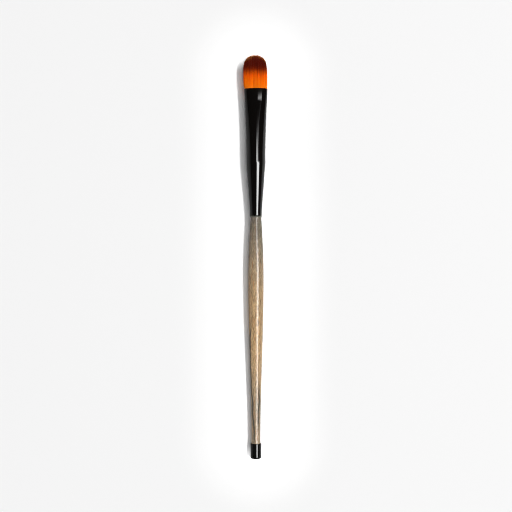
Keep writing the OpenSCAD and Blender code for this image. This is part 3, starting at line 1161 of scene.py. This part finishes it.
        line = np.interp(seats[:, 0], np.linspace(-1, 1, self.lines), rng.normal(0, 1, self.lines))
        by_line, by_clump, by_own = self.tones
        tone = 0.5 + by_line * line + by_clump * clump_tone + by_own * rng.normal(0, 1, count)
        lot = (tone.clip(0, 0.999) * self.lots).astype(int)
        shift = rng.normal(0, self.dye_climb, self.lots)
        dye = levels + shift[lot][:, None]
        bare, deeper, uneven = self.tip_light
        near_tip = levels / tip[:, None] * (bare - deeper * through[:, None] + uneven * clump_drift[:, :1])
        return self._mesh(points, levels, lot, dye, near_tip), self._leaning(seats, levels, corners)

    def _leaning(self, seats: np.ndarray, levels: np.ndarray, corners: np.ndarray) -> np.ndarray:
        """Gives each vertex's shading direction.

        Args:
            seats: The filaments' places as shares of the oval's half sizes.
            levels: The height of each ring above the mouth.
            corners: The angle of each filament's corners.

        Returns:
            One direction for each vertex, on the upright brush.
        """
        half = np.array([self.width, self.thickness]) / 2
        face = np.sign(seats) * np.abs(seats) ** (self.ferrule.square - 1) / half
        face /= np.linalg.norm(face, axis=1, keepdims=True) + 1e-6
        closing = np.where(levels > self.waist_h, self.closing, 0.0)
        shape = (*levels.shape, 3)
        own = np.stack([np.cos(corners), np.sin(corners), np.zeros_like(corners)], axis=-1)
        whole = np.empty((*shape, 3))
        whole[..., :2] = face[:, None, None, :]
        whole[..., 2] = closing[:, :, None]
        normals = mix(own[:, None], whole, self.face_share)
        normals /= np.linalg.norm(normals, axis=-1, keepdims=True)
        return normals.reshape(-1, 3)

    def _mesh(
        self, points: np.ndarray, levels: np.ndarray, lot: np.ndarray, dye: np.ndarray, near_tip: np.ndarray
    ) -> bpy.types.Object:
        """Makes the filaments' mesh, with the tone, dye height and nearness to the tip for the finish.

        Args:
            points: The places of each filament's rings, by filament, ring and corner.
            levels: The height of each ring above the mouth.
            lot: The dye lot of each filament.
            dye: The height of each ring as the dye sees it.
            near_tip: How near each ring is to its filament's tip, from 0 to 1.

        Returns:
            The new object. Its map lays each lot's filaments on one column.
        """
        count, rings = levels.shape
        first = (np.arange(count) * rings * 3)[:, None, None]
        ring = (np.arange(rings - 1) * 3)[None, :, None]
        corner, after = np.arange(3), (np.arange(3) + 1) % 3
        quads = np.stack(
            [
                first + ring + corner,
                first + ring + after,
                first + ring + 3 + after,
                first + ring + 3 + corner,
            ],
            axis=-1,
        ).reshape(-1, 4)
        roots = np.stack([first[:, 0, 0] + 2, first[:, 0, 0] + 1, first[:, 0, 0]], axis=-1)
        tips = roots[:, ::-1] + (rings - 1) * 3
        mesh = bpy.data.meshes.new("bristle_filaments")
        faces = quads.tolist() + roots.tolist() + tips.tolist()
        mesh.from_pydata((points.reshape(-1, 3) * MM).tolist(), [], faces)
        mesh.shade_smooth()

        tone = mesh.attributes.new("tone", "FLOAT", "POINT")
        tone.data.foreach_set("value", np.repeat((lot + 0.5) / self.lots, rings * 3).astype(np.float32))
        height = mesh.attributes.new("dye_height", "FLOAT", "POINT")
        height.data.foreach_set("value", np.repeat(dye.ravel(), 3).astype(np.float32))
        # near_tip drives the painted pale tips, painted light through the thin ends.
        tip_glow_attribute = mesh.attributes.new("near_tip", "FLOAT", "POINT")
        tip_glow_attribute.data.foreach_set("value", np.repeat(near_tip.ravel(), 3).astype(np.float32))

        column = np.repeat(lot, rings * 3)
        level = np.repeat((levels.ravel() - self.root_start) / (self.length + 1 - self.root_start), 3)
        vertices = np.empty(len(mesh.loops), np.int64)
        mesh.loops.foreach_get("vertex_index", vertices)
        side = np.tile([0.1, 0.9, 0.9, 0.1], len(quads))
        side = np.concatenate([side, np.tile([0.1, 0.5, 0.9], 2 * count)])
        uv = np.stack([(column[vertices] + side) / self.lots, level[vertices]], axis=-1)
        layer = mesh.uv_layers.new(name="OFBake")
        layer.data.foreach_set("uv", uv.ravel().astype(np.float32))
        piece = bpy.data.objects.new("bristle_filaments", mesh)
        bpy.context.scene.collection.objects.link(piece)
        return piece

    def roots(self) -> bpy.types.Object:
        """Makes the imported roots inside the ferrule, with the drawn-in tail behind."""
        mouth = self.ferrule.mouth
        end = mouth - self.root_len
        tail = end + self.tail_len
        heights = np.concatenate([[end], [tail], np.linspace(tail + self.tail_draw, mouth - 1, 6)])
        inset = np.full(len(heights), self.fit)
        inset[:2] += self.tail_draw
        piece = skinned("bristle_roots", self.ferrule.ovals(heights, inset, False))
        for name in ("tone", "dye_height", "near_tip"):
            plain = piece.data.attributes.new(name, "FLOAT", "POINT")
            plain.data.foreach_set("value", np.full(len(piece.data.vertices), 0.5, np.float32))
        return piece


@dataclass
class InnerPieces:
    """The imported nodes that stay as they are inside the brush."""

    nodes: dict
    glue_nodes: tuple[str, ...] = ("cap_glue", "tenon_glue", "glue_plug")
    thread_node: str = "root_binding"

    def dress(self) -> None:
        """Gives the glue and the thread their finishes."""
        epoxy, thread = SetEpoxy().make(), WoundThread().make()
        for name in self.glue_nodes:
            self._wear(name, epoxy, Slot.GLUE)
        self._wear(self.thread_node, thread, Slot.THREAD)

    def _wear(self, name: str, material: bpy.types.Material, slot: Slot) -> None:
        """Puts one finish on one node."""
        node = self.nodes[name]
        node.data.materials.clear()
        node.data.materials.append(material)
        log.info("%s: %s", name, material.name)


@dataclass(frozen=True)
class Softbox:
    """One flat studio lamp whose length runs along the brush. Sizes and places in metres.

    The zenith angle is in degrees from straight above the brush, positive to its right.
    """

    name: str
    zenith: float
    distance: float
    middle_y: float
    width: float
    length: float
    watts: float
    in_gloss: bool = True
    on_matt: bool = True
    fade: tuple[tuple[float, str], ...] = ()

    def hang(self) -> None:
        """Hangs the lamp over the brush and sets which surfaces show it."""
        lamp = bpy.data.lights.new(self.name, "AREA")
        lamp.shape = "RECTANGLE"
        lamp.size, lamp.size_y = self.width, self.length
        lamp.energy = self.watts
        if self.fade:
            self._fade(lamp)
        turn = math.radians(self.zenith)
        hung = bpy.data.objects.new(self.name, lamp)
        hung.location = (self.distance * math.sin(turn), self.middle_y, self.distance * math.cos(turn))
        hung.rotation_euler = (0, turn, 0)
        hung.visible_glossy = self.in_gloss
        hung.visible_diffuse = self.on_matt
        bpy.context.scene.collection.objects.link(hung)

    def _fade(self, lamp: bpy.types.Light) -> None:
        """Dims the lamp along its length, from its end at the cap to its end at the tuft."""
        lamp.use_nodes = True
        tree = lamp.node_tree
        tree.nodes.clear()
        place = add_node(tree, "ShaderNodeNewGeometry").outputs["Parametric"]
        along = add_node(tree, "ShaderNodeSeparateXYZ", {0: place}).outputs[1]
        ramp = add_node(tree, "ShaderNodeValToRGB", {0: along}, stops=self.fade)
        light = add_node(tree, "ShaderNodeEmission", {"Color": ramp, "Strength": 1.0})
        add_node(tree, "ShaderNodeOutputLight", {"Surface": light})


@dataclass
class Studio:
    """The pale floor, the soft light and the camera over the brush. Places in metres.

    The camera's values say how large a pixel is at the cap's axis, and which pixel the brush's
    axis and the cap's end fall on. paper is what the floor gives to the brush. Seen by the camera
    it is paler near the brush, a painted pool of light, and partly a glow of its own further off
    and beside both ends. The glow beside the ends is painted light that lifts the brush's shadow
    there. Seen in gloss, the paper is darker left of the brush, a painted dark reflection.
    """

    pixel_mm: float = 0.42265
    frame_pixels: int = 512
    axis_x: float = 255.9
    cap_end_y: float = 458.3
    camera_height_mm: float = 396.2
    sensor_mm: float = 36.0
    pixel_blur: float = 1.0
    floor_half: float = 4.0
    paper: float = 0.9
    paper_near: float = 1.15
    paper_far: float = 0.25
    glow_far: float = 0.69
    haze_reach: tuple[float, float] = (0.15, 1.6)
    pool_size: tuple[float, float] = (0.0, 0.078)
    pool_reach: tuple[float, float] = (0.004, 0.036)
    # Where and how strongly the painted light beside both ends lifts the brush's shadow.
    end_reach: tuple[float, float] = (0.0785, 0.0847)
    end_glow: float = 0.5
    end_fade: tuple[float, float] = (0.009, 0.014)
    gloss_share: float = 0.5
    # Painted reflection: the paper seen in gloss is darker left of the brush, so the lacquer's left rims
    # mirror it dark.
    gloss_dim_reach: tuple[float, float] = (-0.0036, -0.0054)
    gloss_dim_left: float = 0.38
    wall: float = 0.36
    ceiling: float = 0.03
    wall_top: tuple[float, float] = (0.18, 0.22)
    wall_slant: float = 0.14
    lamps: tuple[Softbox, ...] = (
        Softbox("key_lamp", 29.3, 1.13, -0.02, 0.10, 1.1, 10.1, in_gloss=False),
        Softbox("top_fill", 11.0, 1.3, 0.0, 0.6, 1.6, 5.5, in_gloss=False),
        Softbox("left_bounce", -60.0, 1.2, 0.0, 0.5, 1.2, 1.75, in_gloss=False),
        Softbox("bright_reflector", 26.3, 1.13, -0.165, 0.58, 0.47, 20.3, on_matt=False),
        Softbox(
            "dim_reflector",
            15.7,
            1.02,
            0.2,
            0.39,
            0.29,
            4.75,
            on_matt=False,
            fade=(
                (0.0, "#ffffff"),
                (0.2, "#ffffff"),
                (0.48, "#e2e2e2"),
                (0.58, "#cacaca"),
                (0.67, "#909090"),
                (0.74, "#454545"),
                (0.82, "#000000"),
            ),
        ),
    )

    def build(self, rest: Rest) -> None:
        """Builds the floor, the light and the camera.

        Args:
            rest: Where the brush lies, which places the camera.
        """
        self.floor()
        self.sky()
        for lamp in self.lamps:
            lamp.hang()
        self.camera(rest)
        view = bpy.context.scene.view_settings
        view.view_transform = "Standard"
        bpy.context.scene.cycles.filter_width = self.pixel_blur

    def camera(self, rest: Rest) -> None:
        """Sets the camera straight above the brush, at the photograph's distance and scale.

        Args:
            rest: Where the brush lies.
        """
        middle = self.frame_pixels / 2
        cap_end = rest.matrix.translation
        height = cap_end.z + self.camera_height_mm * MM
        lens = bpy.data.cameras.new("camera")
        lens.sensor_width = self.sensor_mm
        lens.lens = self.sensor_mm * self.camera_height_mm / (self.frame_pixels * self.pixel_mm)
        lens.clip_start, lens.clip_end = 0.01, 50
        camera = bpy.data.objects.new("camera", lens)
        camera.location = (
            (middle - self.axis_x) * self.pixel_mm * MM,
            cap_end.y + (self.cap_end_y - middle) * self.pixel_mm * MM,
            height,
        )
        bpy.context.scene.collection.objects.link(camera)
        bpy.context.scene.camera = camera

    def floor(self) -> None:
        """Lays the paper floor under the brush."""
        half = self.floor_half
        mesh = bpy.data.meshes.new("paper_floor")
        edges = [(-half, -half, 0), (half, -half, 0), (half, half, 0), (-half, half, 0)]
        mesh.from_pydata(edges, [], [(0, 1, 2, 3)])
        mesh.materials.append(self._paper())
        floor = bpy.data.objects.new("paper_floor", mesh)
        bpy.context.scene.collection.objects.link(floor)
        floor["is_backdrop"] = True

    def _paper(self) -> bpy.types.Material:
        """Makes the matt studio paper, which is clear to a camera that looks up from below."""
        material = bpy.data.materials.new("matt_studio_paper")
        material.use_nodes = True
        tree = material.node_tree
        tree.nodes.clear()
        place = add_node(tree, "ShaderNodeTexCoord").outputs["Object"]
        mirrored, away = self._away(tree, place)
        far = add_node(
            tree,
            "ShaderNodeMapRange",
            {0: away},
            spans=(self.pool_reach, (0.0, 1.0)),
            interpolation_type="SMOOTHSTEP",
        )

        path = add_node(tree, "ShaderNodeLightPath").outputs
        in_gloss = {0: path["Is Glossy Ray"], 1: self.gloss_share}
        seen = add_node(tree, "ShaderNodeMath", in_gloss, operation="MULTIPLY")
        for kind in ("Is Camera Ray", "Is Transmission Ray"):
            seen = add_node(tree, "ShaderNodeMath", {0: seen, 1: path[kind]}, operation="MAXIMUM")
        # Painted pool of light: near the brush the camera sees the paper paler than the lamps make it.
        painted_light_pool = add_node(
            tree, "ShaderNodeMix", {MIX_FACTOR: far, NUMBER_A: self.paper_near, NUMBER_B: self.paper_far}
        )
        lit = add_node(tree, "ShaderNodeMix", {MIX_FACTOR: seen, NUMBER_A: self.paper, NUMBER_B: painted_light_pool})
        gloss_dim = self._gloss_dimming(tree, path["Is Glossy Ray"], place)
        albedo = add_node(tree, "ShaderNodeMath", {0: lit, 1: gloss_dim}, operation="MULTIPLY")
        glow = self._glow(tree, mirrored, away, far)
        shown = add_node(tree, "ShaderNodeMath", {0: seen, 1: glow}, operation="MULTIPLY")

        paper = add_node(tree, "ShaderNodeBsdfDiffuse", {"Color": albedo})
        light = add_node(tree, "ShaderNodeEmission", {"Strength": shown})
        both = add_node(tree, "ShaderNodeAddShader", {0: paper, 1: light})
        clear = add_node(tree, "ShaderNodeBsdfTransparent")
        behind = add_node(tree, "ShaderNodeNewGeometry").outputs["Backfacing"]
        upward = {0: behind, 1: path["Is Camera Ray"]}
        from_below = add_node(tree, "ShaderNodeMath", upward, operation="MULTIPLY")
        sheet = add_node(tree, "ShaderNodeMixShader", {0: from_below, 1: both, 2: clear})
        add_node(tree, "ShaderNodeOutputMaterial", {"Surface": sheet})
        return material

    def _away(self, tree: bpy.types.NodeTree, place: Feed) -> tuple[Feed, Feed]:
        """Measures how far each place of the floor lies from the painted pool of light round the brush.

        Args:
            tree: The floor's tree.
            place: The place on the floor.

        Returns:
            The place, mirrored into the floor's first quarter, and its distance from the pool.
        """
        size = (*self.pool_size, 0.0)
        mirrored = add_node(tree, "ShaderNodeVectorMath", {0: place}, operation="ABSOLUTE")
        beyond = add_node(tree, "ShaderNodeVectorMath", {0: mirrored, 1: size}, operation="SUBTRACT")
        outside = add_node(tree, "ShaderNodeVectorMath", {0: beyond, 1: (0, 0, 0)}, operation="MAXIMUM")
        away = add_node(tree, "ShaderNodeVectorMath", {0: outside}, operation="LENGTH")
        return mirrored, away.outputs["Value"]

    def _glow(self, tree: bpy.types.NodeTree, mirrored: Feed, away: Feed, far: Feed) -> bpy.types.Node:
        """Makes the paper glow far from the brush, and a little beside both of its ends, where the glow
        is painted light that lifts the brush's shadow.

        Args:
            tree: The floor's tree.
            mirrored: The place on the floor, mirrored into its first quarter.
            away: The place's distance from the painted pool of light.
            far: How far the pool has faded at the place, from 0 to 1.

        Returns:
            How strong the glow is at each place.
        """
        along = add_node(tree, "ShaderNodeSeparateXYZ", {0: mirrored}).outputs["Y"]
        beside_end, close = (
            add_node(
                tree,
                "ShaderNodeMapRange",
                {0: value},
                spans=(source, target),
                interpolation_type="SMOOTHSTEP",
            )
            for value, source, target in (
                (along, self.end_reach, (0.0, self.end_glow)),
                (away, self.end_fade, (1.0, 0.0)),
            )
        )
        # Painted light: the glow beside both ends lightens the brush's shadow there.
        end_shadow_lift = add_node(tree, "ShaderNodeMath", {0: beside_end, 1: close}, operation="MULTIPLY")
        haze = add_node(tree, "ShaderNodeMapRange", {0: away}, spans=(self.haze_reach, (self.glow_far, 1.0)))
        return add_node(tree, "ShaderNodeMix", {MIX_FACTOR: far, NUMBER_A: end_shadow_lift, NUMBER_B: haze})

    def _gloss_dimming(self, tree: bpy.types.NodeTree, glossy: Feed, place: Feed) -> bpy.types.Node:
        """Dims the paper in gloss left of the brush, where the photograph's rims are dark.

        Args:
            tree: The floor's tree.
            glossy: Whether the floor is seen in gloss.
            place: The place on the floor.

        Returns:
            The share of the paper's light that is left.
        """
        # Painted reflection: only gloss sees the paper darker here, left of the brush.
        left = add_node(tree, "ShaderNodeSeparateXYZ", {0: place}).outputs["X"]
        dimmed = (1.0, self.gloss_dim_left)
        share = add_node(tree, "ShaderNodeMapRange", {0: left}, spans=(self.gloss_dim_reach, dimmed))
        return add_node(tree, "ShaderNodeMix", {MIX_FACTOR: glossy, NUMBER_A: 1.0, NUMBER_B: share})

    def sky(self) -> None:
        """Sets the room: grey walls, higher on the left, a dark ceiling, and plain white to the camera."""
        world = bpy.data.worlds.new("studio_room")
        world.use_nodes = True
        tree = world.node_tree
        tree.nodes.clear()
        direction = add_node(tree, "ShaderNodeTexCoord").outputs["Generated"]
        x, _, z = add_node(tree, "ShaderNodeSeparateXYZ", {0: direction}).outputs
        slant = add_node(tree, "ShaderNodeMath", {0: x, 1: self.wall_slant, 2: z}, operation="MULTIPLY_ADD")
        level = add_node(
            tree,
            "ShaderNodeMapRange",
            {0: slant},
            spans=(self.wall_top, (self.wall, self.ceiling)),
            interpolation_type="SMOOTHSTEP",
        )
        seen = add_node(tree, "ShaderNodeLightPath").outputs["Is Camera Ray"]
        strength = add_node(tree, "ShaderNodeMix", {MIX_FACTOR: seen, NUMBER_A: level, NUMBER_B: 1.0})
        room = add_node(tree, "ShaderNodeBackground", {"Color": (1, 1, 1, 1), "Strength": strength})
        add_node(tree, "ShaderNodeOutputWorld", {"Surface": room})
        bpy.context.scene.world = world


def corners(box: tuple[Vector, Vector]) -> list[list[float]]:
    """Turns a box into plain lists of numbers."""
    return [list(corner) for corner in box]


def main() -> None:
    """Loads the frame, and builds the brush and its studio."""
    logging.basicConfig(level=logging.INFO, format="%(name)s: %(message)s")
    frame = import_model()
    packed_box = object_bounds()
    rest = Rest.read(frame["record"])
    Studio().build(rest)

    cap = EndCap()
    handle = Handle(cap)
    ferrule = Ferrule(handle)
    tuft = Tuft(ferrule)
    for part in (cap, handle, ferrule, tuft):
        part.build(rest)
    InnerPieces(frame["nodes"]).dress()

    bpy.context.view_layer.update()
    sizes = {"packed": corners(packed_box), "dressed": corners(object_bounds())}
    log.info("packed box %s, dressed box %s", sizes["packed"], sizes["dressed"])


if __name__ == "__main__":
    main()
